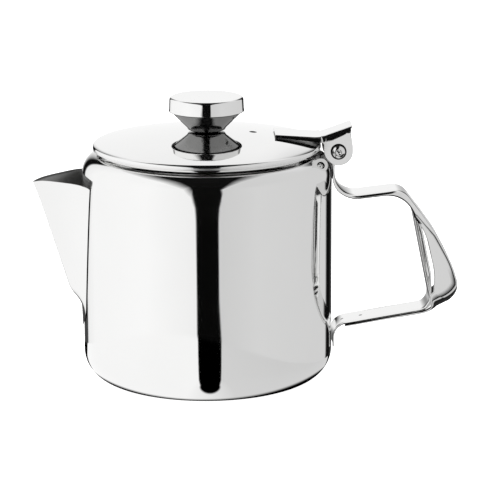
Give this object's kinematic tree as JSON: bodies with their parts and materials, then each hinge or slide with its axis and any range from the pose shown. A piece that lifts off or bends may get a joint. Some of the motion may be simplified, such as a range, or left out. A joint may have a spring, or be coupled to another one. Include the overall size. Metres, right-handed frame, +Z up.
{
  "type": "teapot",
  "caption": "Small cylindrical teapot in polished stainless steel with a pressed spout, a hollow strap handle and a hinged domed lid with a knob.",
  "frame": {"origin": "centre of the flat foot, on the table", "axes": "+X towards the handle, -X towards the spout, +Z up along the vessel's axis, Y across"},
  "size_m": [0.1613, 0.095, 0.1085],
  "materials": {
    "vessel": "mirror-polished stainless steel",
    "spout": "mirror-polished stainless steel",
    "lid": "mirror-polished stainless steel",
    "knob": "mirror-polished stainless steel",
    "hinge": "polished stainless steel",
    "rivet": "polished stainless steel",
    "handle": "polished stainless steel",
    "fastener": "plain stainless steel"
  },
  "bodies": {
    "pot": {"pot_body": "vessel", "spout": "spout", "handle_outer_strap": "handle", "handle_inner_strap": "handle"},
    "lid": {"lid": "lid", "knob_cap": "knob", "knob_cone": "knob", "knob_screw": "fastener", "knob_nut": "fastener", "lid_hinge_leaf": "hinge", "hinge_pin": "rivet"}
  },
  "joints": [
    {"name": "lid_hinge", "type": "hinge", "parent": "pot", "child": "lid", "pos_m": [0.0496, 0, 0.0881], "axis": [0, 1, 0], "range_deg": [0, 105]}
  ]
}
